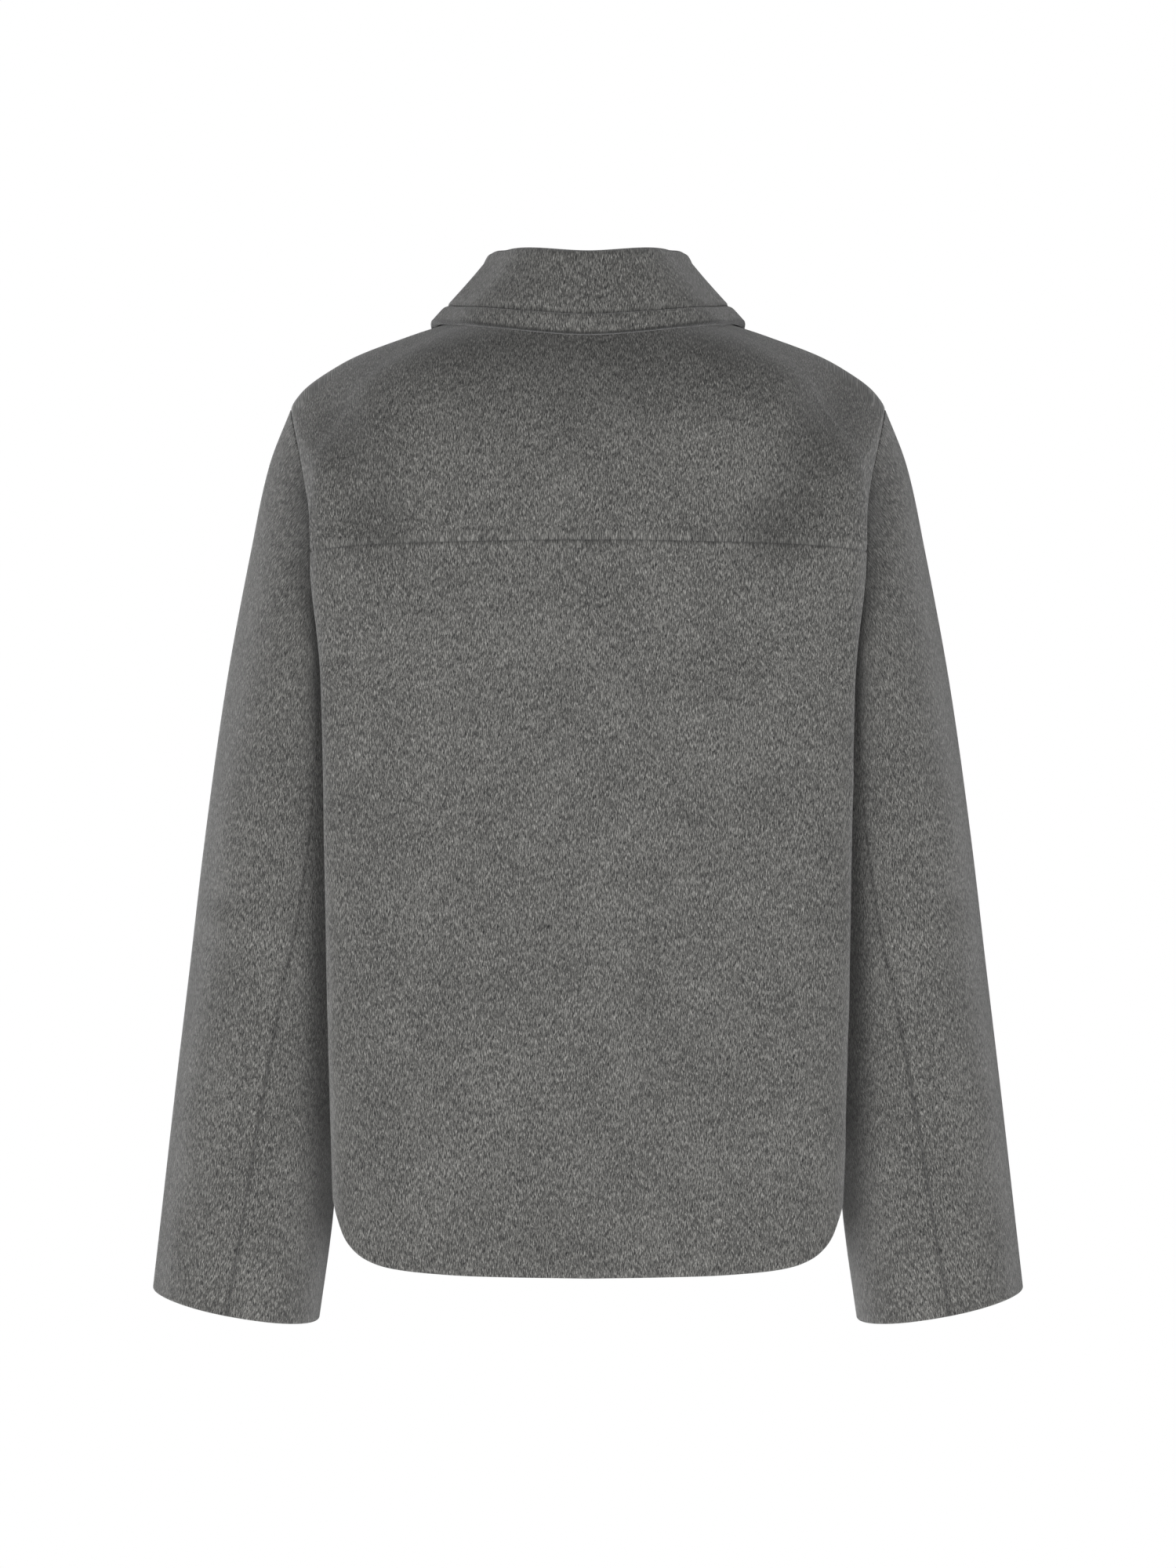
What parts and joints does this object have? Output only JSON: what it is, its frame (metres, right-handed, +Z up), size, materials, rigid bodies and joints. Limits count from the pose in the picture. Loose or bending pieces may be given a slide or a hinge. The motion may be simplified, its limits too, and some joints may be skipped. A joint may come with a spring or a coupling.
{
  "type": "short wool jacket with a turn-down collar, worn shape",
  "caption": "Short straight wool jacket with a turn-down collar, back yoke, two-piece sleeves and a curved shirt-tail hem, hollow, in its worn shape.",
  "frame": {"origin": "on the wearer's neck axis, level with the neck seam at the centre back", "axes": "+Z up, the front faces -Y, +X towards the wearer's left"},
  "size_m": [0.5896, 0.2576, 0.7248],
  "materials": {
    "wool": "brushed mid-grey melange wool, double-faced",
    "buttons": "dark grey horn-like, soft sheen"
  },
  "bodies": {
    "root": {"yoke": "wool", "back": "wool", "front_left": "wool", "front_right": "wool", "sleeve_top_left": "wool", "sleeve_under_left": "wool", "sleeve_top_right": "wool", "sleeve_under_right": "wool", "collar_stand": "wool", "collar_fall": "wool", "button_1": "buttons", "button_2": "buttons", "button_3": "buttons", "button_4": "buttons", "button_5": "buttons"}
  },
  "joints": []
}
